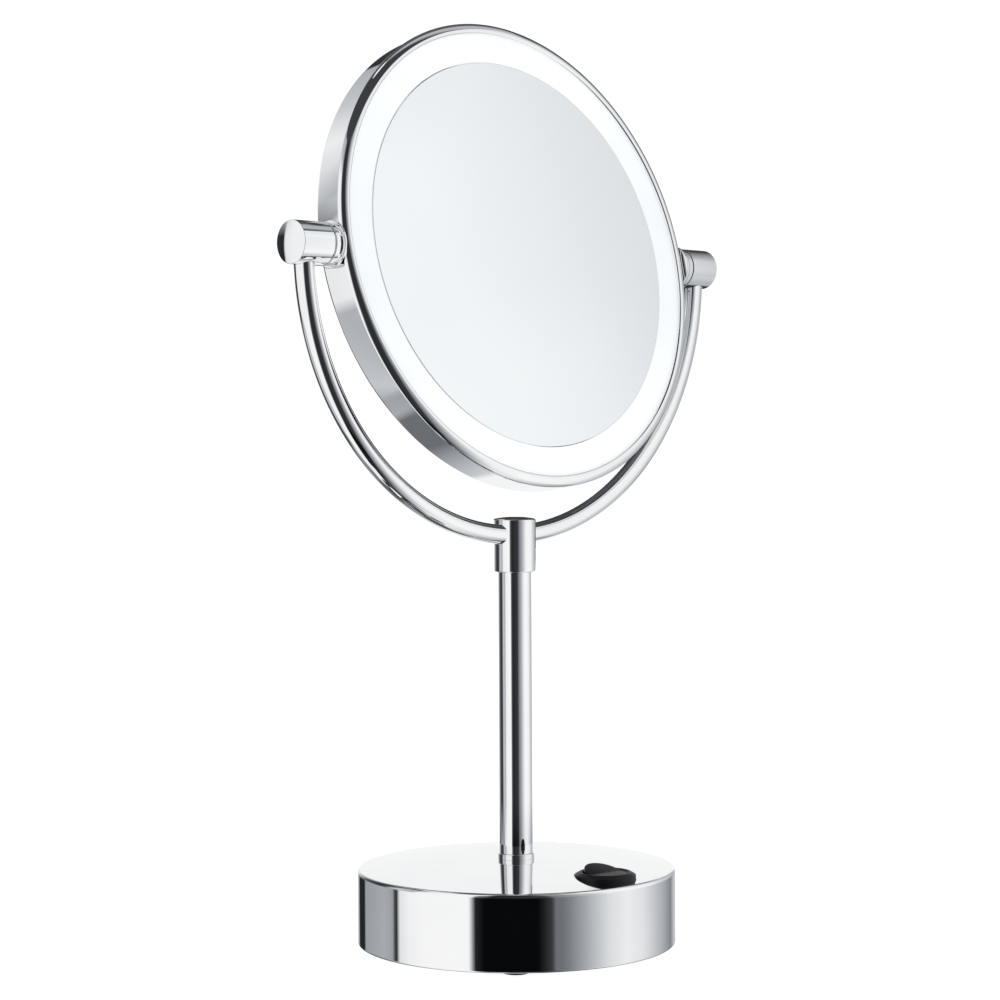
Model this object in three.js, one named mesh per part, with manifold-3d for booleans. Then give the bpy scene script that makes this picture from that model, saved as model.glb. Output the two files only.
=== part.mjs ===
// Lighted table shaving mirror: drum base, post, half-round yoke and tilting round head.
// Millimetres, +Z up, feet on z = 0, post on the Z axis, the mirror faces -Y.
import * as THREE from 'three';
import { mergeVertices } from 'three/addons/utils/BufferGeometryUtils.js';
import Module from 'manifold-3d';

const wasm = await Module();
wasm.setup();

// ---- driving dimensions ------------------------------------------------------------------
const rad = THREE.MathUtils.degToRad;
const gap = 0.3;                 // clearance between pieces that touch

const baseR = 70;
const baseBottom = 2.6;          // height of the shell's lower rim over the feet's soles
const baseTop = 35.6;            // height of the top's edge
const domeRise = 3.6;            // the top is a shallow dome, this much higher in the middle
const domeR = 67.8;
const footR = 6;
const footRing = 55;

const switchY = -53.8;           // rocker switch centre
const flangeR = 13.1;
const openingR = 10;             // the switch's opening for the rocker
const rockerR = 9.2;
const rockerTilt = rad(9.5);     // also the slope of each half of the rocker's top
const rockerPivotZ = 37.4;
const rockerMiddle = 1.6;        // height of the rocker's middle over its pivot

const trayY = 10;                // battery tray centre
const cellR = 7.1;
const cellLength = 50.5;
const cellPitch = 15.3;
const cellZ = 12.1;
const doorHingeY = 37.5;
const doorHingeZ = 3.9;

const postR = 7.5;
const postWall = 1;
const postTop = 174.6;
const collarR = 8.15;
const collarTop = 41.6;

const socketR = 9.3;
const socketBottom = 165.3;
const socketTop = 188.4;

const pivotZ = 303.3;            // height of the tilt axis
const yokeArc = 119.2;           // centreline radius of the yoke's half circle
const yokeRise = 2.5;            // straight length between the half circle and the tilt axis
const yokeR = 4.25;
const yokeBore = 3.2;

const knobR = 9;
const knobInner = 109.8;
const knobOuter = 126.4;
const pinR = 2.6;

const headTilt = rad(11.6);      // the mirror's face looks up by this much
const lipR = 104;
const lipInnerR = 98.9;
const bandR = 103.4;
const bandWall = 1;
const bandBack = -9.2;           // back edge, measured from the tilt axis along the head's normal
const glassFront = 6.4;
const mirrorR = 86.1;

// ---- shape helpers -----------------------------------------------------------------------
// Shared vertices, no empty triangles, faces outwards.
function tidy(geometry) {
  const plain = geometry.clone();
  plain.deleteAttribute('normal');
  plain.deleteAttribute('uv');
  const merged = mergeVertices(plain, 1e-4);
  const { array: at } = merged.attributes.position;
  const point = (i) => new THREE.Vector3(at[3 * i], at[3 * i + 1], at[3 * i + 2]);
  const faces = [];
  let volume = 0;
  for (let i = 0; i < merged.index.count; i += 3) {
    const [a, b, c] = [0, 1, 2].map((k) => merged.index.getX(i + k));
    if (a === b || b === c || c === a) continue;
    faces.push(a, b, c);
    volume += point(a).dot(point(b).cross(point(c)));
  }
  if (volume < 0) faces.reverse();
  merged.setIndex(faces);
  return merged;
}

function toManifold(geometry) {
  const g = tidy(geometry);
  return new wasm.Manifold(new wasm.Mesh({
    numProp: 3,
    vertProperties: new Float32Array(g.attributes.position.array),
    triVerts: new Uint32Array(g.index.array),
  }));
}

function fromManifold(manifold) {
  const mesh = manifold.getMesh();
  const g = new THREE.BufferGeometry();
  g.setAttribute('position', new THREE.BufferAttribute(new Float32Array(mesh.vertProperties), 3));
  g.setIndex([...mesh.triVerts]);
  return g;
}

const cut = (body, ...tools) =>
  fromManifold(tools.reduce((m, t) => m.subtract(toManifold(t)), toManifold(body)));
const join = (body, ...others) =>
  fromManifold(others.reduce((m, t) => m.add(toManifold(t)), toManifold(body)));

// Solid of revolution about Z; the profile is [radius, z] pairs and is closed here.
function spin(profile, segments = 40) {
  const points = profile.map(([r, z]) => new THREE.Vector2(r, z));
  if (profile[0][0] > 0) points.push(points[0].clone());
  return new THREE.LatheGeometry(points, segments).rotateX(Math.PI / 2);
}

const disc = (r, z0, z1, segments) => spin([[0, z0], [r, z0], [r, z1], [0, z1]], segments);
const ring = (r0, r1, z0, z1, segments) =>
  spin([[r0, z0], [r1, z0], [r1, z1], [r0, z1]], segments);
const box = (x0, x1, y0, y1, z0, z1) => new THREE.BoxGeometry(x1 - x0, y1 - y0, z1 - z0)
  .translate((x0 + x1) / 2, (y0 + y1) / 2, (z0 + z1) / 2);
const alongX = (geometry) => geometry.rotateY(Math.PI / 2);   // local z becomes +X
const alongY = (geometry) => geometry.rotateX(-Math.PI / 2);  // local z becomes +Y
const polar = (r, a) => [r * Math.cos(a), r * Math.sin(a)];

class Path extends THREE.Curve {
  constructor(pointAt) {
    super();
    this.pointAt = pointAt;
  }

  getPoint(t, target = new THREE.Vector3()) {
    return target.copy(this.pointAt(t));
  }
}

// Round tube or rod swept along a path, with an even number of sides.
function sweep(path, r, bore, steps, sides) {
  const curveSegments = sides / 2;
  const shape = new THREE.Shape().absarc(0, 0, r, 0, 2 * Math.PI, false);
  if (bore > 0) shape.holes.push(new THREE.Path().absarc(0, 0, bore, 0, 2 * Math.PI, true));
  return new THREE.ExtrudeGeometry(shape, { extrudePath: path, steps, curveSegments });
}

// ---- materials and bodies ----------------------------------------------------------------
const paint = (color, roughness, metalness, extra = {}) =>
  new THREE.MeshStandardMaterial({ color, roughness, metalness, ...extra });
const chrome = paint(0xd9dbde, 0.08, 1);
const steel = paint(0xb4b6b8, 0.35, 1);
const iron = paint(0x55585c, 0.6, 1);
const brass = paint(0xc8a24a, 0.3, 1);
const blackRubber = paint(0x14151a, 0.7, 0);
const blackPlastic = paint(0x22242a, 0.5, 0);
const whitePlastic = paint(0xf2f2f0, 0.5, 0);
const frosted = paint(0xf6f8ff, 0.6, 0, { emissive: 0xf4f8ff, emissiveIntensity: 0.6 });
const silvered = paint(0xdde4ea, 0.03, 1);
const cellWrap = paint(0x3b4048, 0.4, 0.2);
const boardGreen = paint(0x2e6b48, 0.6, 0);
const wireRed = paint(0x9c2b28, 0.6, 0);

const part = new THREE.Group();
const body = (parent, name) => {
  const g = new THREE.Group();
  g.name = name;
  parent.add(g);
  return g;
};
const add = (group, name, geometry, material) => {
  const mesh = new THREE.Mesh(tidy(geometry), material);
  mesh.name = name;
  group.add(mesh);
  return mesh;
};

// ---- base --------------------------------------------------------------------------------
const base = body(part, 'base');

const dome = (r) => baseTop + domeRise * (1 - (r / domeR) ** 2.5);
const domeSteps = [66.6, 61, 54, 46, 36, 24, 12, 0];
const shellWall = 1.5;
const shellProfile = [
  ...domeSteps.map((r) => [r, dome(r) - shellWall]).reverse(), [67.6, baseTop - 2],
  [68.4, baseTop - 3.2], [68.5, baseTop - 4.5], [68.5, baseBottom + 0.6], [68.9, baseBottom],
  [69.3, baseBottom], [baseR, baseBottom + 1.2], [baseR, baseTop - 2.4], [69.7, baseTop - 1.2],
  [68.9, baseTop - 0.4], [67.6, baseTop], ...domeSteps.map((r) => [r, dome(r)]),
];
const flangeHole = disc(flangeR + gap, 30, 45, 32).translate(0, switchY, 0);
add(base, 'base_shell', cut(spin(shellProfile, 56), flangeHole, disc(6.6, 20, 45, 24)), chrome);

const ballastBottom = 22;
const ballastTop = baseTop - 2;
const ballastR = 67.6;
const screwAngles = [90, 210, 330].map(rad);
const bosses = screwAngles.map((a) => {
  const [x, y] = polar(60, a);
  return ring(1.7, 4, 5.2, ballastBottom + 2, 16).translate(x, y, 0);
});
const counterbore = disc(14, ballastBottom - 1, 30.5, 28);
const stopPin = disc(1.25, 27.9, 31.5, 10).translate(0, 12.2, 0);
add(base, 'base_ballast', join(
  cut(spin([[0, ballastBottom], [ballastR, ballastBottom], [ballastR, ballastTop - 3.2],
    [65, ballastTop], [20, ballastTop], [20, 36.9], [0, 36.9]], 48),
  disc(11.5, 20, 45, 28).translate(0, switchY, 0), disc(8.4, 20, 40, 24), counterbore),
  ...bosses, stopPin), iron);

const doorOpening = box(-31, 31, -18.5, doorHingeY + 1, 0, 8);
const screwHoles = screwAngles.map((a) => {
  const [x, y] = polar(60, a);
  return disc(1.9, 0, 8, 12).translate(x, y, 0);
});
add(base, 'base_cover', cut(disc(67.8, 3.1, 4.7, 56), doorOpening, ...screwHoles), blackPlastic);

for (let i = 0; i < 4; i++) {
  const [x, y] = polar(footRing, rad(45 + 90 * i));
  const foot = spin([[0, 0], [footR - 0.7, 0], [footR, 0.8], [footR, 2.8], [0, 2.8]], 20);
  add(base, `foot_${i + 1}`, foot.translate(x, y, 0), blackRubber);
}

screwAngles.forEach((a, i) => {
  const [x, y] = polar(60, a);
  const screw = spin([[0, 1.6], [2.6, 1.6], [3, 2.1], [3, 2.8], [1.4, 2.8], [1.4, 12], [0, 12]], 14);
  add(base, `cover_screw_${i + 1}`, screw.translate(x, y, 0), steel);
});

// battery tray and what it holds
const trayX = 2 * cellPitch;
const trayEnd = 29.5;
add(base, 'battery_tray', cut(
  box(-trayX - 1.6, trayX + 1.6, trayY - trayEnd, trayY + trayEnd, 5, 20.8),
  box(-trayX - 0.2, trayX + 0.2, trayY - trayEnd + 1.3, trayY + trayEnd - 1.3, 0, 19.7)), blackPlastic);

for (let i = 0; i < 4; i++) {
  const x = (i - 1.5) * cellPitch;
  const nose = i % 2 === 0 ? 1 : -1;       // neighbouring cells lie head to tail
  const half = cellLength / 2;
  const cell = spin([[0, -half], [cellR - 0.6, -half], [cellR, -half + 0.8], [cellR, half - 2],
    [cellR - 0.8, half - 1.2], [2.8, half - 1.2], [2.8, half], [0, half]], 16);
  add(base, `battery_cell_${i + 1}`,
    alongY(cell).rotateZ(nose > 0 ? 0 : Math.PI).translate(x, trayY + nose * 1.9, cellZ), cellWrap);

  const springEnd = trayY - nose * (trayEnd - 2.3);
  const coil = new Path((t) => {
    const a = 5 * Math.PI * t;
    const r = 4.6 - 2 * t;
    return new THREE.Vector3(x + r * Math.cos(a), springEnd + nose * (0.8 + 1.9 * t),
      cellZ + r * Math.sin(a));
  });
  add(base, `battery_spring_${i + 1}`, sweep(coil, 0.3, 0, 26, 4), steel);
}

// contact plates: two single ones at the leads' end and three that bridge two cells
const plates = [[-1.5, -1.5, 1], [-0.5, 0.5, 1], [1.5, 1.5, 1], [-1.5, -0.5, -1], [0.5, 1.5, -1]];
plates.forEach(([from, to, side], i) => {
  const y = trayY - side * (trayEnd - 1.95);
  add(base, `contact_plate_${i + 1}`, box(from * cellPitch - 6, to * cellPitch + 6, y - 0.3, y + 0.3,
    7, 18), brass);
});

add(base, 'driver_board', join(box(-18, 18, -33.5, -23.5, 8, 9.6), box(-14, -8, -31, -26, 9, 12),
  box(-2, 6, -32, -25, 9, 11.2), disc(2.6, 9, 15, 12).translate(13, -28.5, 0)), boardGreen);

// switch housing with its bezel, and the rocker inside it
add(base, 'switch_housing', spin([
  [0, 20], [11.1, 20], [11.1, 35.3], [flangeR, 35.3], [flangeR, 38], [12.6, 38.6],
  [10.7, 39.35], [10.2, 39.3], [openingR, 39], [openingR, 30.2], [0, 30.2],
], 28).translate(0, switchY, 0), blackRubber);
for (const [i, x] of [-4, 4].entries()) {
  add(base, `switch_terminal_${i + 1}`, box(x - 2.2, x + 2.2, switchY - 0.4, switchY + 0.4, 12.5,
    20 - gap), brass);
}
add(base, 'post_bushing', ring(6.3, 7.9, 30.8, 37.3, 20), whitePlastic);

// the rocker's two halves rise outwards from its middle
const rockerHalf = (side) => box(-12, 12, Math.min(0, 14 * side), Math.max(0, 14 * side), 0, 9)
  .rotateX(side * rockerTilt).translate(0, 0, rockerMiddle);
const rocker = cut(spin([[0, -3.2], [7.9, -3.2], [8.8, -2], [rockerR, 0], [rockerR, 2.4],
  [8.9, 3.3], [8.9, 5], [0, 5]], 28), rockerHalf(1), rockerHalf(-1));
const rockerBody = body(base, 'rocker');
add(rockerBody, 'switch_rocker',
  rocker.rotateX(rockerTilt).translate(0, switchY, rockerPivotZ), blackRubber);

// battery door: flat panel with a round hinge edge
const door = new THREE.Shape();
door.moveTo(-18.1, -0.6);
door.lineTo(doorHingeY, -0.6);
door.absarc(doorHingeY, 0, 0.6, -Math.PI / 2, Math.PI / 2, false);
door.lineTo(-18.1, 0.6);
const doorPanel = new THREE.ExtrudeGeometry(door, { depth: 61.2, bevelEnabled: false, curveSegments: 6 })
  .rotateY(Math.PI / 2).rotateX(Math.PI / 2).translate(-30.6, 0, doorHingeZ);
const fingerNotch = disc(6, 0, 8, 20).translate(0, -21.5, 0);
add(body(base, 'battery_door_body'), 'battery_door', cut(doorPanel, fingerNotch), blackPlastic);

// ---- post and yoke -----------------------------------------------------------------------
const post = body(part, 'post');
const collarBottom = dome(0) + gap;
add(post, 'post_collar', spin([[6.3, collarBottom], [collarR, collarBottom],
  [collarR, collarTop - 0.4], [collarR - 0.4, collarTop], [6.3, collarTop]], 28), chrome);
add(post, 'post_tube', ring(postR - postWall, postR, collarTop + gap, postTop, 32), chrome);
add(post, 'post_stud', ring(2.2, 6, 22.4, 56, 20), steel);
add(post, 'post_wave_washer', ring(6.3, 10.5, 29.4, 30.2, 20), steel);
add(post, 'post_stop_washer', join(ring(6.3, 10.4, 28, 29.1, 20), box(-1.5, 1.5, -13.4, -9, 28, 29.1)), steel);
const nut = new THREE.CylinderGeometry(11, 11, 4.8, 6).rotateX(Math.PI / 2).translate(0, 0, 25.3);
add(post, 'post_nut', cut(nut, disc(6.3, 20, 30, 20)), steel);

const arcZ = pivotZ - yokeRise;             // centre of the yoke's half circle
const yokeLength = 2 * yokeRise + Math.PI * yokeArc;
const yokePoint = (s) => {
  if (s < yokeRise) return new THREE.Vector3(-yokeArc, 0, pivotZ - s);
  if (s > yokeLength - yokeRise) return new THREE.Vector3(yokeArc, 0, pivotZ - (yokeLength - s));
  const a = Math.PI + (s - yokeRise) / yokeArc;
  return new THREE.Vector3(yokeArc * Math.cos(a), 0, arcZ + yokeArc * Math.sin(a));
};
const yokePath = new Path((t) => yokePoint(t * yokeLength));
const yokeBottom = arcZ - yokeArc;
const crossPath = new Path((t) => yokePoint(yokeLength / 2 + (t - 0.5) * 40));

add(post, 'yoke_socket', cut(
  spin([[0, socketBottom], [socketR - 0.5, socketBottom], [socketR, socketBottom + 0.5],
    [socketR, socketTop - 0.4], [socketR - 0.6, socketTop], [5, socketTop + 0.7],
    [0, socketTop + 0.9]], 28),
  disc(postR + gap, socketBottom - 1, postTop + gap, 28),
  sweep(crossPath, yokeR + gap, 0, 8, 12),
  disc(1.8, postTop - 1, yokeBottom, 12),
  alongY(disc(1.9, postR, 12, 12)).translate(0, 0, 170.5)), chrome);
add(post, 'socket_grub_screw', alongY(disc(1.5, postR + 0.5, socketR - 0.15, 10))
  .translate(0, 0, 170.5), steel);
add(post, 'yoke_tube', cut(sweep(yokePath, yokeR, yokeBore, 38, 12),
  disc(1.6, yokeBottom - 6, yokeBottom, 10)), chrome);
add(post, 'post_lead', disc(1, 23, yokeBottom - 0.6, 8), wireRed);
const leadPath = new Path((t) => yokePoint(yokeRise + t * (yokeLength / 2 - yokeRise - 2.5)));
add(post, 'yoke_lead', sweep(leadPath, 0.9, 0, 18, 6), wireRed);

for (const [side, sign] of [['left', -1], ['right', 1]]) {
  const place = (geometry) => {
    const g = alongX(geometry).rotateZ(sign > 0 ? 0 : Math.PI);
    return g.translate(0, 0, pivotZ);
  };
  const knob = place(spin([[0, knobInner - 1.3], [7.6, knobInner - 1.3], [7.6, knobInner],
    [knobR - 0.4, knobInner], [knobR, knobInner + 0.4], [knobR, knobOuter - 1],
    [knobR - 0.3, knobOuter - 0.5], [knobR - 1, knobOuter - 0.2], [0, knobOuter]], 24));
  add(post, `${side}_knob`, cut(knob,
    place(disc(pinR + gap, 100, 114.2, 16)),
    disc(yokeR + gap, pivotZ - 15, pivotZ + gap, 16).translate(sign * yokeArc, 0, 0)), chrome);
  add(post, `${side}_pivot_pin`, place(disc(pinR, 99.2, 113.9, 12)), steel);
  const pivotNut = new THREE.CylinderGeometry(4.5, 4.5, 2.6, 6).rotateX(Math.PI / 2)
    .translate(0, 0, 100.75);
  add(post, `${side}_pivot_nut`, place(cut(pivotNut, disc(pinR + gap, 98, 104, 12))), steel);
}

// ---- head --------------------------------------------------------------------------------
// The head's own frame: z along the mirror's normal, y up the mirror, x along the tilt axis.
const head = body(part, 'head');
head.position.z = pivotZ;
head.rotation.x = Math.PI / 2 - headTilt;

const pinHole = (r) => alongX(disc(r, -110, 110, 16));
add(head, 'front_bezel', spin([[lipInnerR, 6.7], [lipInnerR + 0.4, 7.4], [lipInnerR + 1.4, 7.95],
  [101.6, 8.1], [102.8, 7.8], [103.7, 7], [lipR, 6], [lipR, 5.2], [102.4, 5.2], [102.4, 6.7]], 56),
chrome);
add(head, 'head_band', cut(spin([[bandR - bandWall, 4.9], [bandR, 4.9], [bandR, bandBack + 1.8],
  [bandR - 0.5, bandBack + 0.6], [bandR - 1.7, bandBack], [98, bandBack], [98, bandBack + 1],
  [bandR - 2, bandBack + 1], [bandR - 1, bandBack + 2]], 56), pinHole(pinR + 0.8)), chrome);
add(head, 'back_cover', spin([[0, -12.4], [40, -11.9], [75, -10.8], [97.6, -9.3], [97.6, -8.3],
  [75, -9.8], [40, -10.9], [0, -11.4]], 40), steel);
add(head, 'mirror_glass', disc(mirrorR, 3.5, glassFront + 0.05, 56), silvered);
add(head, 'diffuser_ring', ring(mirrorR + gap, 101.9, 4.5, glassFront, 56), frosted);
add(head, 'backing_pad', disc(83.8, 2, 3.2, 40), blackRubber);

const trayWindow = box(98.9, 104, -6, 6, -5, 6);
add(head, 'light_tray', cut(spin([[20, -6.6], [101.8, -6.6], [101.8, 4.2], [100.7, 4.2],
  [100.7, -5.4], [85.5, -5.4], [85.5, 3.1], [84.3, 3.1], [84.3, -5.4], [20, -5.4]], 40),
trayWindow, trayWindow.clone().rotateZ(Math.PI)), whitePlastic);

const ledCount = 20;
const leds = [];
for (let i = 0; i < ledCount; i++) {
  const a = 2 * Math.PI * (i + 0.5) / ledCount;
  leds.push(box(91, 94, -1.8, 1.8, -4.5, -3).rotateZ(a));
}
add(head, 'led_board', join(ring(87.5, 98.4, -5, -3.9, 40), ...leds), boardGreen);

for (const [side, turn] of [['left', Math.PI], ['right', 0]]) {
  const pivotRing = spin([[3.3, 103.7], [4.6, 103.7], [4.6, 104.4], [9.8, 104.4], [10, 104.7],
    [9.8, 105.2], [9, 105.4], [9, 107.7], [8.6, 108.2], [3.3, 108.2]], 20);
  add(head, `${side}_pivot_ring`, alongX(pivotRing).rotateZ(turn), chrome);
}

export default part;
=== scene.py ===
import math

import bmesh
import bpy
from mathutils import Matrix, Vector


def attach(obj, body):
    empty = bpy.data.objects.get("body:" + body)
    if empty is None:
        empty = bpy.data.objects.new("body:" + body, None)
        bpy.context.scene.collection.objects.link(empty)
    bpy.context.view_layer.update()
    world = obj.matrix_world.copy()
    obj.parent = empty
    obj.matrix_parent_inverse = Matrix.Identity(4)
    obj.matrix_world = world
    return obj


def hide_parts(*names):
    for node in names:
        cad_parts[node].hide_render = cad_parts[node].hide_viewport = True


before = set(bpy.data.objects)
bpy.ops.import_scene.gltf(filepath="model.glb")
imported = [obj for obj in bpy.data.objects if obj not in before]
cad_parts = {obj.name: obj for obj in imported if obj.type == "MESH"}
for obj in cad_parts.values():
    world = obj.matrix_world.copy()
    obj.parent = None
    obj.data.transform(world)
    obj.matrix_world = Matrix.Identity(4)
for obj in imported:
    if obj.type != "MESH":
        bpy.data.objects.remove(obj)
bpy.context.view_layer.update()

# Lighted table shaving mirror. Shapes are written in millimetres in the frame of their CAD
# group and turned into metres in the row frame as they are made.
MM = 0.001
UP = Vector((0, 0, 1))

# ---- camera ------------------------------------------------------------------------------
CAMERA_PLACE = (-0.7691, -0.7789, 0.2211)
CAMERA_HEADING = math.radians(44.306)    # of the view direction, clockwise from +Y
CAMERA_PITCH = math.radians(-1.271)
CAMERA_ROLL = math.radians(-0.290)
LENS = 89.741


def make_camera():
    data = bpy.data.cameras.new("camera")
    data.lens, data.sensor_width = LENS, 36
    data.clip_start, data.clip_end = 0.02, 30
    eye = bpy.data.objects.new("camera", data)
    bpy.context.scene.collection.objects.link(eye)
    level = math.cos(CAMERA_PITCH)
    ahead = Vector((math.sin(CAMERA_HEADING) * level, math.cos(CAMERA_HEADING) * level,
                    math.sin(CAMERA_PITCH)))
    flat = ahead.cross(UP).normalized()
    right = flat * math.cos(CAMERA_ROLL) + flat.cross(ahead) * math.sin(CAMERA_ROLL)
    above = right.cross(ahead)
    turn = Matrix((right, above, -ahead)).transposed().to_4x4()
    eye.matrix_world = Matrix.Translation(CAMERA_PLACE) @ turn
    bpy.context.scene.camera = eye


make_camera()

# ---- dimensions, as in the CAD -------------------------------------------------------------
BASE_R, BASE_BOTTOM, BASE_TOP = 70, 2.6, 35.6
DOME_R, DOME_RISE = 67.8, 3.6
SHELL_WALL = 1.5
SWITCH_Y, ROCKER_Z = -53.8, 37.4
ROCKER_TILT = math.radians(9.5)
ROCKER_MIDDLE, ROCKER_REACH = 1.6, 14
SCREW_ANGLES = [math.radians(a) for a in (90, 210, 330)]
FOOT_ANGLES = [math.radians(45 + 90 * i) for i in range(4)]
FOOT_RING, FOOT_R, FOOT_TOP = 55, 6, 2.8
SCREW_RING, SCREW_HOLE_R = 60, 1.9
SWITCH_HOLE_R = 13.25
COLLAR_BOTTOM, COLLAR_TOP = 39.2, 41.6
SOCKET_R = 9.3
TRAY_Y, CELL_PITCH, CELL_Z, CELL_R, CELL_LENGTH = 10, 15.3, 12.1, 7.1, 50.5
TRAY_END = 29.5
PIVOT_Z = 303.3
YOKE_ARC, YOKE_RISE, YOKE_R, YOKE_BORE = 119.2, 2.5, 4.25, 3.2
KNOB_R, KNOB_INNER, KNOB_OUTER = 9, 109.8, 126.8
KNOB_DOME_R = 44
LIP_FRONT, LIP_SIDE = (100.37, 5.1, 3), (99.72, 3.315, 4.9)   # arcs as centre r, z and radius
GRUB_Z = 170.5

HERE = Matrix.Identity(4)
HEAD = Matrix.Translation((0, 0, PIVOT_Z)) @ Matrix.Rotation(math.radians(90 - 11.6), 4, "X")
ALONG_X = Matrix.Rotation(math.radians(90), 4, "Y")
ALONG_Y = Matrix.Rotation(math.radians(-90), 4, "X")
HALF_TURN = Matrix.Rotation(math.pi, 4, "Z")


def at(x, y, z=0.0):
    return Matrix.Translation((x, y, z))


# ---- mesh helpers --------------------------------------------------------------------------
CORNER_STEPS = 5
ARC_STEP = math.radians(9)
ARC_SUPPORT = 0.04                       # how far outside an arc its support points stand
SHARP_ANGLE = math.radians(32)           # edges sharper than this stay sharp in shading
MERGE, THINNEST, GAP_SIDES = 0.002 * MM, 0.001 * MM, 8


def make(name, mesh, place):
    """An object from a bmesh in millimetres, moved to its place."""
    bmesh.ops.recalc_face_normals(mesh, faces=mesh.faces)
    mesh.transform(Matrix.Scale(MM, 4) @ place)
    data = bpy.data.meshes.new(name)
    mesh.to_mesh(data)
    mesh.free()
    obj = bpy.data.objects.new(name, data)
    bpy.context.scene.collection.objects.link(obj)
    return obj


def rounded(corners, closed=True):
    """Profile points from (radius, z, fillet) corners. A filleted corner becomes an arc with a
    support point just outside each end, which keeps the flats beside it flat in shading."""
    points, count = [], len(corners)
    for i, (r, z, fillet) in enumerate(corners):
        here = Vector((r, z))
        if fillet <= 0 or (not closed and i in (0, count - 1)):
            points.append((r, z))
            continue
        before = Vector(corners[i - 1][:2]) - here
        after = Vector(corners[(i + 1) % count][:2]) - here
        u, v = before.normalized(), after.normalized()
        half = u.angle(v) / 2
        reach = fillet / math.tan(half)
        middle = here + (u + v).normalized() * (fillet / math.sin(half))
        arm = here + u * reach - middle
        side = 1 if arm.cross(here + v * reach - middle) > 0 else -1
        turn = math.pi - 2 * half
        steps = max(3, math.ceil(turn / ARC_STEP))
        if before.length > reach + 4 * ARC_SUPPORT:
            points.append(tuple(here + u * (reach + ARC_SUPPORT)))
        for k in range(steps + 1):
            a = side * turn * k / steps
            points.append((middle.x + arm.x * math.cos(a) - arm.y * math.sin(a),
                           middle.y + arm.x * math.sin(a) + arm.y * math.cos(a)))
        if after.length > reach + 4 * ARC_SUPPORT:
            points.append(tuple(here + v * (reach + ARC_SUPPORT)))
    return points


def lathe(name, points, place, steps=96, closed=True, paint=None):
    """Solid of revolution about the local z axis. An open profile starts and ends on it."""
    mesh = bmesh.new()
    rings = []
    for r, z in points:
        if r < 1e-6:
            rings.append([mesh.verts.new((0, 0, z))])
        else:
            rings.append([mesh.verts.new((r * math.cos(2 * math.pi * k / steps),
                                          r * math.sin(2 * math.pi * k / steps), z))
                          for k in range(steps)])
    pairs = list(zip(rings, rings[1:] + rings[:1] if closed else rings[1:]))
    for n, (low, high) in enumerate(pairs):
        for k in range(0 if len(low) == len(high) == 1 else steps):
            j = (k + 1) % steps
            corners = [low[k % len(low)], low[j % len(low)],
                       high[j % len(high)], high[k % len(high)]]
            face = mesh.faces.new(list(dict.fromkeys(corners)))
            if paint:
                a, b = points[n], points[(n + 1) % len(points)]
                face.material_index = paint((a[0] + b[0]) / 2, (a[1] + b[1]) / 2)
    return make(name, mesh, place)


def tube(name, path, r, place, sides=24, bore=0.0):
    """Round rod or tube along a path of points, with flat ends."""
    mesh = bmesh.new()
    path = [Vector(p) for p in path]
    ahead = (path[1] - path[0]).normalized()
    across = ahead.orthogonal().normalized()
    shells = [[], []]
    for i, p in enumerate(path):
        new = (path[min(i + 1, len(path) - 1)] - path[max(i - 1, 0)]).normalized()
        across = ahead.rotation_difference(new) @ across
        ahead = new
        other = ahead.cross(across)
        for shell, radius in zip(shells, (r, bore)):
            if radius > 0:
                shell.append([mesh.verts.new(p + (across * math.cos(2 * math.pi * k / sides)
                                                  + other * math.sin(2 * math.pi * k / sides))
                                             * radius) for k in range(sides)])
    for shell in shells:
        for a, b in zip(shell, shell[1:]):
            for k in range(sides):
                j = (k + 1) % sides
                mesh.faces.new((a[k], a[j], b[j], b[k]))
    for end in (0, -1):
        if bore > 0:
            for k in range(sides):
                j = (k + 1) % sides
                mesh.faces.new((shells[0][end][k], shells[0][end][j],
                                shells[1][end][j], shells[1][end][k]))
        else:
            mesh.faces.new(shells[0][end])
    return make(name, mesh, place)


def block(name, low, high, place, corner=0.0):
    """Box, with its four upright edges rounded."""
    mesh = bmesh.new()
    outline = []
    for n, (sx, sy) in enumerate(((1, 1), (-1, 1), (-1, -1), (1, -1))):
        x = (high[0] if sx > 0 else low[0]) - sx * corner
        y = (high[1] if sy > 0 else low[1]) - sy * corner
        for k in range(CORNER_STEPS + 1 if corner else 1):
            a = math.pi / 2 * (n + k / CORNER_STEPS)
            outline.append((x + corner * math.cos(a), y + corner * math.sin(a)))
    floor = [mesh.verts.new((x, y, low[2])) for x, y in outline]
    roof = [mesh.verts.new((x, y, high[2])) for x, y in outline]
    mesh.faces.new(floor)
    mesh.faces.new(roof)
    for k in range(len(outline)):
        j = (k + 1) % len(outline)
        mesh.faces.new((floor[k], floor[j], roof[j], roof[k]))
    return make(name, mesh, place)


def prism(name, section, half, place):
    """A (y, z) section stretched along x, to the same distance each way."""
    mesh = bmesh.new()
    ends = [[mesh.verts.new((x, y, z)) for y, z in section] for x in (-half, half)]
    for end in ends:
        mesh.faces.new(end)
    for k in range(len(section)):
        j = (k + 1) % len(section)
        mesh.faces.new((ends[0][k], ends[0][j], ends[1][j], ends[1][k]))
    return make(name, mesh, place)


def settle(obj):
    """Applies the object's modifiers, then merges the points that they leave together and
    closes the pinholes."""
    bpy.context.view_layer.update()
    graph = bpy.context.evaluated_depsgraph_get()
    data = bpy.data.meshes.new_from_object(obj.evaluated_get(graph))
    obj.modifiers.clear()
    mesh = bmesh.new()
    mesh.from_mesh(data)
    bmesh.ops.remove_doubles(mesh, verts=mesh.verts, dist=MERGE)
    bmesh.ops.dissolve_degenerate(mesh, edges=mesh.edges, dist=THINNEST)
    bmesh.ops.holes_fill(mesh, edges=[e for e in mesh.edges if e.is_boundary], sides=GAP_SIDES)
    mesh.to_mesh(data)
    mesh.free()
    obj.data = data


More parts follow.
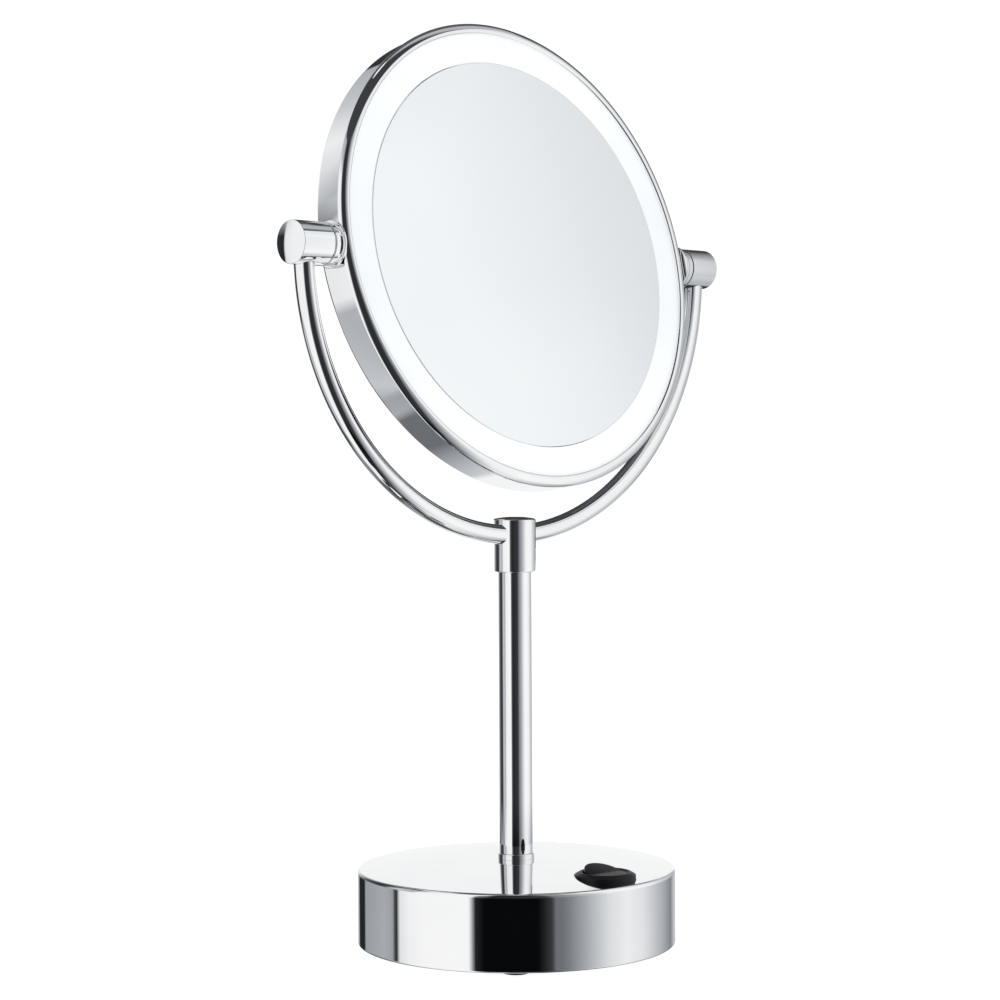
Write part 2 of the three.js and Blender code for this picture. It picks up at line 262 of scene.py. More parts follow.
def carve(obj, *tools, operation="DIFFERENCE"):
    for tool in tools:
        step = obj.modifiers.new("shape", "BOOLEAN")
        step.operation, step.solver, step.object = operation, "EXACT", tool
    settle(obj)
    for tool in tools:
        bpy.data.objects.remove(tool)
    return obj


def soften(obj, width, segments=2, angle=40):
    """Rounds the edges sharper than the angle."""
    step = obj.modifiers.new("edges", "BEVEL")
    step.width, step.segments = width * MM, segments
    step.limit_method, step.angle_limit = "ANGLE", math.radians(angle)
    step.harden_normals = False
    settle(obj)
    return obj


def drum(r, low, high, place, steps=64):
    """A plain cutter."""
    return lathe("cutter", [(0, low), (r, low), (r, high), (0, high)], place, steps, closed=False)


# ---- materials -------------------------------------------------------------------------------
def shader(name, **values):
    material = bpy.data.materials.new(name)
    material.use_nodes = True
    tree = material.node_tree
    principled = tree.nodes["Principled BSDF"]
    for socket, value in values.items():
        principled.inputs[socket.replace("_", " ")].default_value = value
    return material, tree, principled


def coordinates(tree, stretch=(1, 1, 1)):
    """The object's own coordinates, in metres in the row frame."""
    source = tree.nodes.new("ShaderNodeTexCoord").outputs["Object"]
    mapping = tree.nodes.new("ShaderNodeMapping")
    mapping.inputs["Scale"].default_value = stretch
    tree.links.new(source, mapping.inputs["Vector"])
    return mapping.outputs["Vector"]


def noise(tree, vector, scale, detail=3.0, rough=0.5):
    node = tree.nodes.new("ShaderNodeTexNoise")
    node.inputs["Scale"].default_value = scale
    node.inputs["Detail"].default_value = detail
    node.inputs["Roughness"].default_value = rough
    tree.links.new(vector, node.inputs["Vector"])
    return node.outputs["Fac"]


def spread(tree, source, low, high, start=0.3, end=0.7):
    node = tree.nodes.new("ShaderNodeMapRange")
    for socket, value in (("From Min", start), ("From Max", end), ("To Min", low),
                          ("To Max", high)):
        node.inputs[socket].default_value = value
    tree.links.new(source, node.inputs["Value"])
    return node.outputs["Result"]


def ramp(tree, source, stops):
    node = tree.nodes.new("ShaderNodeValToRGB")
    elements = node.color_ramp.elements
    while len(elements) < len(stops):
        elements.new(0.5)
    for element, (place, colour) in zip(elements, stops):
        element.position = place
        element.color = (*colour, 1) if len(colour) == 3 else colour
    tree.links.new(source, node.inputs["Fac"])
    return node.outputs["Color"]


def blend(tree, share, first, second):
    node = tree.nodes.new("ShaderNodeMix")
    node.data_type = "RGBA"
    for value, socket in ((share, node.inputs["Factor"]), (first, node.inputs[6]),
                          (second, node.inputs[7])):
        if isinstance(value, bpy.types.NodeSocket):
            tree.links.new(value, socket)
        elif isinstance(value, (int, float)):
            socket.default_value = value
        else:
            socket.default_value = (*value, 1)
    return node.outputs[2]


def maths(tree, operation, *values):
    node = tree.nodes.new("ShaderNodeMath")
    node.operation = operation
    for value, socket in zip(values, node.inputs):
        if isinstance(value, bpy.types.NodeSocket):
            tree.links.new(value, socket)
        else:
            socket.default_value = value
    return node.outputs[0]


def bump(tree, principled, height, distance):
    node = tree.nodes.new("ShaderNodeBump")
    node.inputs["Strength"].default_value = 1.0
    node.inputs["Distance"].default_value = distance * MM
    tree.links.new(height, node.inputs["Height"])
    tree.links.new(node.outputs["Normal"], principled.inputs["Normal"])


def polished(name, dark, light, rough_low, rough_high):
    """Plated metal: faint wiping haze and a slight drift in tone."""
    material, tree, principled = shader(name, Metallic=1.0)
    cloud = noise(tree, coordinates(tree), 28, 2)
    haze = noise(tree, coordinates(tree, (1, 1, 0.35)), 160, 4, 0.6)
    tree.links.new(ramp(tree, cloud, [(0.3, dark), (0.7, light)]), principled.inputs["Base Color"])
    tree.links.new(spread(tree, haze, rough_low, rough_high), principled.inputs["Roughness"])
    return material


def grained(name, dark, light, rough, grain, depth, metallic=0.0, stretch=(1, 1, 1)):
    """Moulded or cast surface: fine grain in tone, roughness and height."""
    material, tree, principled = shader(name, Metallic=metallic)
    fine = noise(tree, coordinates(tree, stretch), grain, 3, 0.6)
    broad = noise(tree, coordinates(tree), 45, 2)
    tone = blend(tree, 0.5, fine, broad)
    tree.links.new(ramp(tree, tone, [(0.3, dark), (0.7, light)]), principled.inputs["Base Color"])
    tree.links.new(spread(tree, broad, rough[0], rough[1]), principled.inputs["Roughness"])
    bump(tree, principled, fine, depth)
    return material


CHROME = polished("chrome", (0.88, 0.885, 0.89), (0.92, 0.92, 0.925), 0.002, 0.009)
STEEL = grained("steel", (0.42, 0.43, 0.44), (0.58, 0.58, 0.59), (0.28, 0.4), 900, 0.01, 1.0)
SATIN = grained("satin_cover", (0.55, 0.555, 0.56), (0.59, 0.595, 0.60), (0.30, 0.33), 260, 0.004,
                1.0, (1, 14, 14))
IRON = grained("cast_iron", (0.05, 0.05, 0.055), (0.12, 0.12, 0.125), (0.55, 0.75), 500, 0.12, 0.8)
RUBBER = grained("black_rubber", (0.003, 0.003, 0.004), (0.008, 0.008, 0.010), (0.34, 0.46), 1500,
                 0.015)
RUBBER.node_tree.nodes["Principled BSDF"].inputs["Specular IOR Level"].default_value = 0.2
PLASTIC = grained("black_plastic", (0.012, 0.012, 0.014), (0.030, 0.031, 0.034), (0.38, 0.5),
                  2200, 0.03)
WHITE = grained("white_plastic", (0.72, 0.72, 0.70), (0.80, 0.80, 0.79), (0.4, 0.5), 900, 0.01)
BRASS = grained("contact_brass", (0.55, 0.38, 0.13), (0.72, 0.53, 0.22), (0.22, 0.34), 600, 0.006,
                1.0)
COPPER = grained("cell_band", (0.42, 0.19, 0.08), (0.56, 0.27, 0.12), (0.25, 0.35), 700, 0.004,
                 0.9)
WRAP = grained("cell_wrap", (0.020, 0.022, 0.027), (0.035, 0.038, 0.045), (0.22, 0.32), 700, 0.004)
WIRE = grained("lead_wire", (0.30, 0.022, 0.020), (0.40, 0.035, 0.030), (0.4, 0.5), 1400, 0.01)


def make_board():
    """Green solder resist with darker tracks."""
    material, tree, principled = shader("circuit_board", Roughness=0.45)
    node = tree.nodes.new("ShaderNodeTexBrick")
    node.inputs["Color1"].default_value = (0.02, 0.13, 0.06, 1)
    node.inputs["Color2"].default_value = (0.03, 0.16, 0.08, 1)
    node.inputs["Mortar"].default_value = (0.012, 0.08, 0.035, 1)
    node.inputs["Scale"].default_value = 300
    node.inputs["Mortar Size"].default_value = 0.03
    tree.links.new(coordinates(tree), node.inputs["Vector"])
    tree.links.new(node.outputs["Color"], principled.inputs["Base Color"])
    bump(tree, principled, node.outputs["Fac"], 0.02)
    return material


def make_mirror():
    """Silvered glass with a very faint cool cast."""
    material, tree, principled = shader("mirror", Metallic=1.0, Coat_Weight=0.3,
                                        Coat_Roughness=0.0)
    cloud = noise(tree, coordinates(tree), 14, 1)
    tree.links.new(ramp(tree, cloud, [(0.35, (0.90, 0.925, 0.945)), (0.65, (0.915, 0.935, 0.95))]),
                   principled.inputs["Base Color"])
    fine = noise(tree, coordinates(tree), 220, 3)
    tree.links.new(spread(tree, fine, 0.004, 0.012), principled.inputs["Roughness"])
    return material


def make_lit():
    """Frosted acrylic with the lamps' light coming through it. The glow is painted dimmer and
    bluer at mid height, which is painted shade, with a faint random drift in tone.
    """
    material, tree, principled = shader("lit_ring", Roughness=0.5)
    place = coordinates(tree)
    cloud = noise(tree, place, 40, 2)
    fine = noise(tree, place, 1800, 2)
    split = tree.nodes.new("ShaderNodeSeparateXYZ")
    tree.links.new(place, split.inputs[0])
    # Painted shade: the glow is dimmer and bluer near the pivot's height, on the ring's sides.
    away = maths(tree, "ABSOLUTE", maths(tree, "SUBTRACT", split.outputs[2], PIVOT_Z * MM))
    share = maths(tree, "ADD", spread(tree, away, 0, 0.9, 0.02, 0.085),
                  maths(tree, "MULTIPLY", cloud, 0.15))
    tree.links.new(ramp(tree, cloud, [(0.3, (0.30, 0.32, 0.34)), (0.7, (0.33, 0.34, 0.35))]),
                   principled.inputs["Base Color"])
    tree.links.new(ramp(tree, share, [(0.05, (0.50, 0.52, 0.535)), (1.0, (0.60, 0.598, 0.59))]),
                   principled.inputs["Emission Color"])
    principled.inputs["Emission Strength"].default_value = 1.0
    bump(tree, principled, fine, 0.004)
    return material


BOARD, MIRROR, LIT = make_board(), make_mirror(), make_lit()
SLOTS = {"chrome": CHROME, "steel": STEEL, "satin_cover": SATIN, "ballast_iron": IRON,
         "black_rubber": RUBBER, "black_plastic": PLASTIC, "white_plastic": WHITE,
         "contact_brass": BRASS, "cell_wrap": WRAP, "circuit_board": BOARD, "wire": WIRE,
         "mirror": MIRROR, "lit_ring": LIT}


def dress(obj, body, slot, *nodes, extra=()):
    """Gives a finished piece its material, shading and place in the table."""
    obj.data.materials.clear()
    for material in (SLOTS[slot], *extra):
        obj.data.materials.append(material)
    obj.data.shade_smooth()
    obj.data.set_sharp_from_angle(angle=SHARP_ANGLE)
    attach(obj, body)
    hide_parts(*nodes)
    return obj


# ---- base --------------------------------------------------------------------------------
def dome(r):
    """Height of the base's top, which is a shallow dome."""
    return BASE_TOP + DOME_RISE * (1 - (r / DOME_R) ** 2.5)


shell = lathe("base_drum", rounded([
    (68.5, BASE_BOTTOM + 0.4, 0), (69.0, BASE_BOTTOM, 0.15), (BASE_R, BASE_BOTTOM, 0.9),
    (BASE_R, dome(BASE_R), 1.7), *[(r, dome(r), 0) for r in range(66, 8, -3)],
    (7.0, dome(7.0), 0.2), (7.0, dome(7.0) - SHELL_WALL, 0),
    *[(r, dome(r) - SHELL_WALL, 0) for r in range(20, 65, 10)],
    (68.5, dome(68.5) - SHELL_WALL, 2.5)]), HERE, 256)
carve(shell, drum(SWITCH_HOLE_R, 30, 45, at(0, SWITCH_Y), 96))
dress(shell, "base", "chrome", "base_shell")

for i, a in enumerate(FOOT_ANGLES):
    foot = lathe(f"rubber_foot_{i + 1}", rounded([
        (0, 0.5, 0), (3.6, 0.5, 0.2), (4.0, 0, 0.25), (FOOT_R - 0.4, 0, 0.25),
        (FOOT_R, FOOT_TOP, 0.2), (0, FOOT_TOP, 0)], False),
        at(FOOT_RING * math.cos(a), FOOT_RING * math.sin(a)), 48, False)
    dress(foot, "base", "black_rubber", f"foot_{i + 1}")

cover = lathe("bottom_plate", rounded([
    (0, 3.1, 0), (64.2, 3.1, 0.15), (64.4, 3.4, 0.1), (65.2, 3.4, 0.1), (65.4, 3.1, 0.15),
    (67.8, 3.1, 0.4), (67.8, 4.7, 0.3), (0, 4.7, 0)], False), HERE, 160, False)
carve(cover, block("cutter", (-31, -18.5, 0), (31, 38.5, 8), HERE, 1.0),
      *[drum(SCREW_HOLE_R, 0, 8, at(SCREW_RING * math.cos(a), SCREW_RING * math.sin(a)), 32)
        for a in SCREW_ANGLES])
soften(cover, 0.15, 2, 50)
dress(cover, "base", "black_plastic", "base_cover")

for i, a in enumerate(SCREW_ANGLES):
    place = (at(SCREW_RING * math.cos(a), SCREW_RING * math.sin(a))
             @ Matrix.Rotation(a + 0.4 * i, 4, "Z"))
    screw = lathe(f"screw_{i + 1}", rounded([
        (0, 1.6, 0), (1.2, 1.62, 0.5), (2.9, 1.95, 0.3), (3.0, 2.8, 0.1), (1.4, 2.8, 0),
        (1.4, 12, 0.3), (0, 12, 0)], False), place, 40, False)
    carve(screw, block("cutter", (-1.7, -0.32, 0), (1.7, 0.32, 2.3), place),
          block("cutter", (-0.32, -1.7, 0), (0.32, 1.7, 2.3), place))
    dress(screw, "base", "steel", f"cover_screw_{i + 1}")

door = block("battery_hatch", (-30.6, -18.1, 3.3), (30.6, 37.5, 4.5), HERE, 0.6)
hinge = tube("cutter", [(-30.6, 37.5, 3.9), (30.6, 37.5, 3.9)], 0.6, HERE, 24)
carve(door, hinge, operation="UNION")
grips = [block("cutter", (-9 + abs(k), -13.4 + 2.2 * k, 3), (9 - abs(k), -12.6 + 2.2 * k, 3.65),
               HERE, 0.35) for k in range(3)]
carve(door, drum(6, 0, 8, at(0, -21.5)), *grips)
soften(door, 0.12, 2, 50)
dress(door, "battery_door", "black_plastic", "battery_door")

tray_x = 2 * CELL_PITCH
tray = block("cell_tray", (-tray_x - 1.6, TRAY_Y - TRAY_END, 5),
             (tray_x + 1.6, TRAY_Y + TRAY_END, 20.8), HERE, 1.2)
carve(tray, block("cutter", (-tray_x - 0.2, TRAY_Y - TRAY_END + 1.3, 0),
                  (tray_x + 0.2, TRAY_Y + TRAY_END - 1.3, 19.7), HERE, 0.8))
soften(tray, 0.2, 2, 50)
dress(tray, "base", "black_plastic", "battery_tray")

for i in range(4):
    x, nose = (i - 1.5) * CELL_PITCH, 1 if i % 2 == 0 else -1
    half = CELL_LENGTH / 2
    place = at(x, TRAY_Y + nose * 1.9, CELL_Z) @ (HERE if nose > 0 else HALF_TURN)
    cell = lathe(f"cell_{i + 1}", rounded([
        (0, -half, 0), (5.6, -half, 0.2), (6.0, -half + 0.25, 0), (CELL_R, -half + 0.25, 0.7),
        (CELL_R, half - 15, 0), (CELL_R, half - 1.3, 0.9), (5.6, half - 1.3, 0.2),
        (5.2, half - 1.6, 0), (2.9, half - 1.5, 0.2), (2.75, half, 0.5), (0, half, 0)], False),
        place @ ALONG_Y, 48, False,
        paint=lambda r, z: 1 if r < 5.9 else 2 if z > half - 15 else 0)
    dress(cell, "base", "cell_wrap", f"battery_cell_{i + 1}", extra=(STEEL, COPPER))
    coil_end = TRAY_Y - nose * (TRAY_END - 2.3)
    turns = []
    for k in range(81):
        t = k / 80
        a, r = 5 * math.pi * t, 4.6 - 2 * t
        turns.append((x + r * math.cos(a), coil_end + nose * (0.8 + 1.9 * t),
                      CELL_Z + r * math.sin(a)))
    coil = tube(f"cell_spring_{i + 1}", turns, 0.3, HERE, 10)
    dress(coil, "base", "steel", f"battery_spring_{i + 1}")

# ---- switch --------------------------------------------------------------------------------
switch = lathe("switch_ring", rounded([
    (0, 20, 0), (11.1, 20, 0.4), (11.1, 35.3, 0), (13.1, 35.3, 0.2), (13.1, 38.25, 0.7),
    (10.9, 39.5, 0.7), (9.8, 39.2, 0.4), (9.75, 30.2, 0.3), (0, 30.2, 0)], False),
    at(0, SWITCH_Y), 96, False)
dress(switch, "base", "black_rubber", "switch_housing")

rocker_place = at(0, SWITCH_Y, ROCKER_Z) @ Matrix.Rotation(ROCKER_TILT, 4, "X")
rocker = lathe("switch_button", [(0, -3.2), (7.6, -3.2), (8.8, -2), (9.2, 0), (9.2, 2.2),
                                 (9.15, 5), (0, 5)], rocker_place, 96, False)
rise = ROCKER_MIDDLE + ROCKER_REACH * math.tan(ROCKER_TILT)
carve(rocker, prism("cutter", [(0, ROCKER_MIDDLE), (ROCKER_REACH, rise), (ROCKER_REACH, 12),
                               (-ROCKER_REACH, 12), (-ROCKER_REACH, rise)], 12,
                    rocker_place))
soften(rocker, 0.75, 4, 40)
dress(rocker, "rocker", "black_rubber", "switch_rocker")

# ---- post and yoke -----------------------------------------------------------------------
collar = lathe("foot_collar", rounded([
    (6.3, COLLAR_BOTTOM, 0), (8.15, COLLAR_BOTTOM, 0.05), (8.15, COLLAR_TOP, 0.35),
    (6.3, COLLAR_TOP, 0)]), HERE, 96)
dress(collar, "post", "chrome", "post_collar")

column = lathe("column", rounded([
    (6.5, COLLAR_TOP + 0.05, 0), (7.5, COLLAR_TOP + 0.05, 0.05), (7.5, 174.6, 0.2),
    (6.5, 174.6, 0)]), HERE, 96)
dress(column, "post", "chrome", "post_tube")

arc_z = PIVOT_Z - YOKE_RISE
yoke_path = [(-YOKE_ARC, 0, PIVOT_Z)]
yoke_path += [(YOKE_ARC * math.cos(math.pi * (1 + k / 200)), 0,
               arc_z + YOKE_ARC * math.sin(math.pi * (1 + k / 200))) for k in range(201)]
yoke_path.append((YOKE_ARC, 0, PIVOT_Z))
yoke = tube("yoke_hoop", yoke_path, YOKE_R, HERE, 48, YOKE_BORE)
dress(yoke, "post", "chrome", "yoke_tube")

fitting = lathe("yoke_fitting", rounded([
    (7.8, 165.3, 0.15), (SOCKET_R, 165.3, 0.5), (SOCKET_R, 188.15, 0.35), (8.6, 188.7, 0.6),
    (4.4, 189.3, 8), (0, 189.3, 0), (0, 174.9, 0), (7.8, 174.9, 0)]), HERE, 96)
carve(fitting, tube("cutter", [p for p in yoke_path if abs(p[0]) < 20], YOKE_R + 0.05, HERE, 48),
      drum(1.9, 7, 12, at(0, 0, GRUB_Z) @ ALONG_Y, 32))
dress(fitting, "post", "chrome", "yoke_socket")

place = at(0, 0, GRUB_Z) @ ALONG_Y
grub = lathe("grub_screw", rounded([(0, 8, 0), (1.5, 8, 0.2), (1.5, 9.0, 0.2), (0, 9.0, 0)],
                                   False), place, 32, False)
carve(grub, lathe("cutter", [(0, 8.5), (0.75, 8.5), (0.75, 9.7), (0, 9.7)], place, 6, False))
dress(grub, "post", "steel", "socket_grub_screw")

for side, turn in (("left", HALF_TURN), ("right", HERE)):
    place = at(0, 0, PIVOT_Z) @ turn @ ALONG_X
    # The knob's recess, facing the tilt ring across the gap, is painted black rubber: painted
    # shade in the gap between the parts.
    knob = lathe(f"{side}_grip", rounded([
        (0, KNOB_INNER - 1.3, 0), (7.6, KNOB_INNER - 1.3, 0), (7.6, KNOB_INNER, 0),
        (KNOB_R, KNOB_INNER, 0.2), (KNOB_R, KNOB_OUTER - 0.92, 0.25),
        *[(r, KNOB_OUTER - r * r / (2 * KNOB_DOME_R), 0) for r in (7.5, 6, 4.5, 3, 1.5, 0)]],
        False), place, 96, False, paint=lambda r, z: 1 if r < 7.7 and z < KNOB_INNER + 0.1 else 0)
    carve(knob, drum(2.9, 100, 114.2, place, 32),
          drum(YOKE_R + 0.25, PIVOT_Z - 15, PIVOT_Z + 0.3,
               turn @ at(YOKE_ARC, 0)))
    dress(knob, "post", "chrome", f"{side}_knob", extra=(RUBBER,))

# ---- head --------------------------------------------------------------------------------
lip = [(98.9, 6.7), (98.95, 7.15), (99.15, 7.55), (99.45, 7.85), (99.85, 8.03)]
for (r, z, bow), angles in ((LIP_FRONT, (90, 84, 78)), (LIP_SIDE, range(70, 25, -5))):
    lip += [(r + bow * math.cos(math.radians(a)), z + bow * math.sin(math.radians(a)))
            for a in angles]
lip += [(104, 5.6), (104, 5.3), (103.9, 5.2), (102.4, 5.2), (102.4, 6.7)]
bezel = lathe("front_lip", lip, HEAD, 256)
dress(bezel, "head", "chrome", "front_bezel")

band = lathe("side_band", rounded([
    (102.4, 4.9, 0), (103.4, 4.9, 0.1), (103.4, -9.2, 1.5), (98, -9.2, 0.3), (98, -8.2, 0),
    (101.4, -8.2, 0.8), (102.4, -7.2, 0)]), HEAD, 256)
carve(band, drum(3.4, -110, 110, HEAD @ ALONG_X, 32))
dress(band, "head", "chrome", "head_band")

back = lathe("back_panel", rounded([
    (0, -12.4, 0), (40, -11.9, 200), (75, -10.8, 200), (96.6, -9.5, 0.6), (97.6, -9.2, 0.3),
    (97.6, -8.3, 0.2), (75, -9.8, 0), (40, -10.9, 0), (0, -11.4, 0)], False), HEAD, 192, False)
dress(back, "head", "satin_cover", "back_cover")

glass = lathe("mirror_disc", rounded([
    (0, 3.5, 0), (86.1, 3.5, 0.2), (86.1, 6.45, 0.25), (0, 6.45, 0)], False), HEAD, 256, False)
dress(glass, "head", "mirror", "mirror_glass")

glow = lathe("frosted_ring", rounded([
    (86.4, 4.5, 0), (101.9, 4.5, 0), (101.9, 6.4, 0.2), (86.4, 6.4, 0.25)]), HEAD, 256)
dress(glow, "head", "lit_ring", "diffuser_ring")

for side, turn in (("left", HALF_TURN), ("right", HERE)):
    # The ring's groove and its faces towards the knob are painted black rubber: painted shade in
    # the groove and in the gap to the knob.
    washer = lathe(f"{side}_tilt_ring", rounded([
        (3.3, 103.7, 0), (4.6, 103.7, 0), (4.6, 104.4, 0), (9.9, 104.4, 0.3), (9.9, 105.5, 0.3),
        (8.0, 105.5, 0), (8.0, 106.9, 0), (9, 106.9, 0.15), (9, 109.2, 0.3), (7.9, 109.2, 0),
        (7.9, 108.2, 0), (3.3, 108.2, 0)]), HEAD @ turn @ ALONG_X, 96,
        paint=lambda r, z: 1 if r < 8.6 and 105.4 < z else 0)
    dress(washer, "head", "chrome", f"{side}_pivot_ring", extra=(RUBBER,))

# ---- CAD nodes that stay: their slot's material ----------------------------------------------
KEPT = {"ballast_iron": ["base_ballast"], "white_plastic": ["post_bushing", "light_tray"],
        "steel": ["post_stud", "post_wave_washer", "post_stop_washer", "post_nut",
                  "left_pivot_pin", "right_pivot_pin", "left_pivot_nut", "right_pivot_nut"],
        "circuit_board": ["driver_board", "led_board"], "wire": ["post_lead", "yoke_lead"],
        "black_rubber": ["backing_pad"],
        "contact_brass": [f"contact_plate_{i + 1}" for i in range(5)]
        + ["switch_terminal_1", "switch_terminal_2"]}
for slot, names in KEPT.items():
    for name in names:
        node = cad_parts[name]
        node.data.materials.clear()
        node.data.materials.append(SLOTS[slot])

# The polished head shows no image of the yoke and its fitting.
for piece in (yoke, fitting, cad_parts["yoke_lead"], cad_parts["post_lead"]):
    piece.visible_glossy = False

# ---- studio ------------------------------------------------------------------------------
FLOOR_SIZE = 6.0


def make_floor():
    """Pale paper sweep. It can be seen only from above, so that the underside can be viewed."""
    mesh = bmesh.new()
    bmesh.ops.create_grid(mesh, x_segments=8, y_segments=8, size=FLOOR_SIZE / 2)
    data = bpy.data.meshes.new("floor")
    mesh.to_mesh(data)
    mesh.free()
    floor = bpy.data.objects.new("floor", data)
    bpy.context.scene.collection.objects.link(floor)
    floor.location.z = -0.0002
    material, tree, principled = shader("pale_paper", Roughness=0.9)
    grain = noise(tree, coordinates(tree), 300, 3)
    tree.links.new(ramp(tree, grain, [(0.3, (0.80, 0.80, 0.80)), (0.7, (0.84, 0.84, 0.84))]),
                   principled.inputs["Base Color"])
    principled.inputs["Emission Color"].default_value = (1, 1, 1, 1)
    principled.inputs["Emission Strength"].default_value = 0.95
    clear = tree.nodes.new("ShaderNodeBsdfTransparent")
    mix = tree.nodes.new("ShaderNodeMixShader")
    side = tree.nodes.new("ShaderNodeNewGeometry").outputs["Backfacing"]
    tree.links.new(side, mix.inputs[0])
    tree.links.new(principled.outputs[0], mix.inputs[1])
    tree.links.new(clear.outputs[0], mix.inputs[2])
    tree.links.new(mix.outputs[0], tree.nodes["Material Output"].inputs["Surface"])
    data.materials.append(material)
    floor.visible_glossy = False


make_floor()


# The tent's walls as (bearing, brightness), from the lowest to the highest. Bearing 0 is towards
# the camera, positive to its right, in degrees. Between two walls the light changes over the
# heights listed after them.
TENT_R, TENT_LOW, TENT_HIGH = 0.25, -1.6, 3.4
# What several walls share: the cards that the post shows.
POST_CARDS = [
    (-133, 0.38), (-123, 0.1), (-103, 0.03), (-95, 0.07), (-90, 0.42), (-84, 0.62), (-74, 0.48),
    (-69, 0.5), (-65, 0.95), (-34, 1.02), (-28, 0.95), (-25.5, 0.16), (-16, 0.02), (14, 0.04),
    (19, 0.06), (22, 0.18), (36, 0.38), (48, 0.62), (60, 0.94), (76, 1.03), (100, 0.95),
    (114, 0.7), (132, 0.52), (142, 0.5)]
TENT_WALLS = [
    [(-180, 0.04), (180, 0.04)],
    [(-180, 0.05), (-101, 0.05), (-99, 0.95), (-11, 0.95), (-9, 0.05), (180, 0.05)],
    [(-180, 0.85), (-165, 0.6), (-150, 0.42), (-130, 0.17), (-101, 0.17), (-95, 0.3), (-86, 0.6),
     (-80, 0.9), (-70, 1.0), (-28.5, 1.0), (-26.5, 0.01), (15, 0.02), (22, 0.07), (33, 0.22),
     (50, 0.55), (65, 0.88), (80, 0.88), (100, 0.65), (120, 0.4), (140, 0.2), (180, 0.85)],
    [(-180, 0.97), (-153, 0.97), (-144, 0.5), (-140, 0.02), (-126.5, 0.02), (-124, 0.36),
     (-112, 0.385), (-97, 0.44), (-90, 0.4), (-87, 0.35), (-85.4, 0.06), (-82.8, 0.03),
     (-80.5, 0.82), (-72, 0.96), (-60, 1.0), (-29.6, 1.015), (-28, 0.6), (-25.9, 0.02),
     (-20, 0.003), (13, 0.003), (16.5, 0.015), (21.5, 0.046), (24, 0.18), (27, 0.17), (33, 0.25),
     (43, 0.435), (60, 0.8), (74, 0.925), (88, 0.84), (105, 0.58), (131, 0.25), (143, 0.6)],
    [(-155, 0.96), (-145, 0.83), *POST_CARDS, (150, 0.97)],
    [(-155, 0.96), (-145, 0.83), *POST_CARDS, (147, 0.03), (163, 0.03), (168, 0.96)],
    [(-148, 0.03), (-145, 0.8), *POST_CARDS, (147, 0.03)],
    [(-180, 0.05), (-172, 0.05), (-152, 0.1), (-144, 0.3), (-126, 0.5), (-121, 0.16), (-112, 0.22),
     (-104, 0.06), (-81, 0.02), (-79.6, 0.02), (-78.6, 0.85), (-70, 0.95), (-31, 0.98),
     (-25, 0.85), (-21, 0.1), (-17, 0.03), (11, 0.03), (18, 0.1), (28, 0.26), (40, 0.42),
     (50, 0.64), (58, 0.9), (66, 1.0), (85, 0.98), (96, 0.92), (106, 0.8), (118, 0.55),
     (128, 0.46), (138, 0.6), (146, 0.5), (150, 0.05), (172, 0.05)],
    [(-180, 0.1), (-168, 0.06), (-149, 0.03), (-147.5, 0.45), (-138, 0.55), (-126, 0.68),
     (-114, 0.85), (-102, 0.92), (-93, 0.8), (-84, 0.5), (-80, 0.7), (-70, 0.95), (-31, 0.98),
     (-25, 0.85), (-21, 0.1), (-17, 0.03), (9, 0.03), (18, 0.2), (30, 0.42), (42, 0.55),
     (56, 0.82), (68, 0.98), (83, 0.97), (91, 0.92), (107, 0.81), (115, 0.7), (124, 0.45),
     (140, 0.2), (147, 0.06), (172, 0.06)],
    [(-168, 0.06), (-149, 0.03), (-147.5, 0.45), (-138, 0.5), (-126, 0.55), (-102, 0.7),
     (-84, 0.5), (-70, 0.5), (-31, 0.5), (-25, 0.3), (-17, 0.03), (9, 0.03), (30, 0.42),
     (56, 0.82), (91, 0.92), (115, 0.7), (124, 0.45), (140, 0.2), (147, 0.06)],
    [(-180, 0.1), (-110, 0.1), (-90, 0.05), (90, 0.05), (110, 0.5), (140, 0.5), (155, 0.1)],
]
TENT_CHANGES = [(-0.85, -0.8), (-0.35, -0.3), (-0.07, -0.04), (0.0, 0.03), (0.15, 0.16),
                (0.185, 0.195), (0.22, 0.24), (0.33, 0.38), (0.47, 0.53), (0.6, 0.62)]


def cool(v):
    """A grey that leans to blue as it gets darker."""
    return (v * (1 - 0.08 * (1 - v)), v, v * (1 + 0.1 * (1 - v))) if v < 1 else (v, v, v)


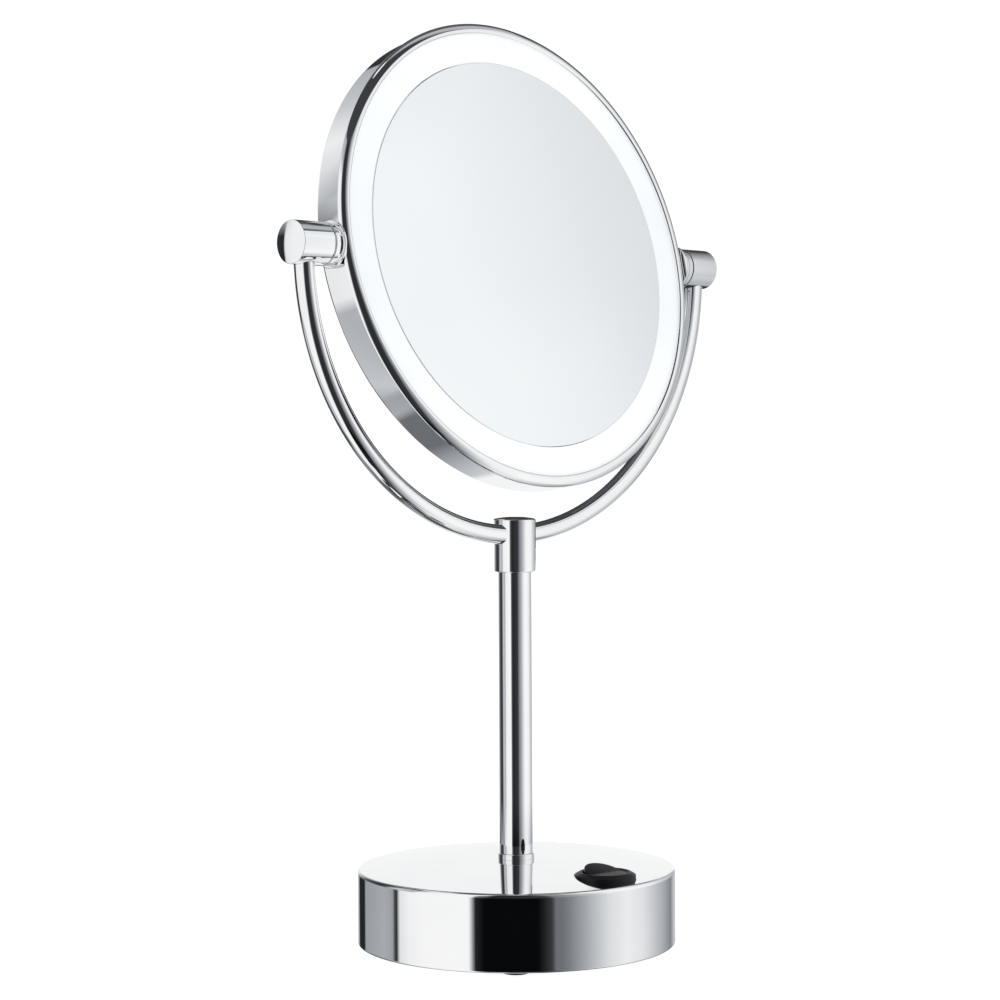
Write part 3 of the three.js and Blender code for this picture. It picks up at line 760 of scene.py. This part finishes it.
def make_tent():
    """Light tent that only reflections see: pale cloth with dark cards standing in it."""
    mesh = bmesh.new()
    bmesh.ops.create_cone(mesh, cap_ends=False, segments=256, radius1=TENT_R, radius2=TENT_R,
                          depth=TENT_HIGH - TENT_LOW)
    data = bpy.data.meshes.new("light_tent")
    mesh.to_mesh(data)
    mesh.free()
    tent = bpy.data.objects.new("light_tent", data)
    bpy.context.scene.collection.objects.link(tent)
    tent.location.z = (TENT_HIGH + TENT_LOW) / 2
    material = bpy.data.materials.new("tent_cloth")
    material.use_nodes = True
    material.cycles.emission_sampling = "NONE"
    tree = material.node_tree
    tree.nodes.clear()
    split = tree.nodes.new("ShaderNodeSeparateXYZ")
    tree.links.new(tree.nodes.new("ShaderNodeNewGeometry").outputs["Position"], split.inputs[0])
    x, y, z = split.outputs
    s, c = math.sin(CAMERA_HEADING), math.cos(CAMERA_HEADING)
    toward = maths(tree, "ADD", maths(tree, "MULTIPLY", x, -s), maths(tree, "MULTIPLY", y, -c))
    right = maths(tree, "ADD", maths(tree, "MULTIPLY", x, c), maths(tree, "MULTIPLY", y, -s))
    angle = maths(tree, "ARCTAN2", right, toward)
    bearing = maths(tree, "ADD", maths(tree, "DIVIDE", angle, 2 * math.pi), 0.5)
    colour = None
    for n, wall in enumerate(TENT_WALLS):
        tone = ramp(tree, bearing, [((a + 180) / 360, cool(v)) for a, v in wall])
        if colour is None:
            colour = tone
        else:
            start, end = TENT_CHANGES[n - 1]
            colour = blend(tree, spread(tree, z, 0, 1, start, end), colour, tone)
    glow = tree.nodes.new("ShaderNodeEmission")
    tree.links.new(colour, glow.inputs["Color"])
    output = tree.nodes.new("ShaderNodeOutputMaterial")
    tree.links.new(glow.outputs[0], output.inputs["Surface"])
    data.materials.append(material)
    tent.visible_camera = tent.visible_diffuse = tent.visible_shadow = False
    tent.visible_transmission = tent.visible_volume_scatter = False


def make_world():
    """Even white daylight."""
    world = bpy.data.worlds.new("studio")
    world.use_nodes = True
    bpy.context.scene.world = world
    background = world.node_tree.nodes["Background"]
    background.inputs["Color"].default_value = (1, 1, 1, 1)
    background.inputs["Strength"].default_value = 1.05


make_tent()
make_world()
bpy.context.scene.view_settings.view_transform = "Standard"
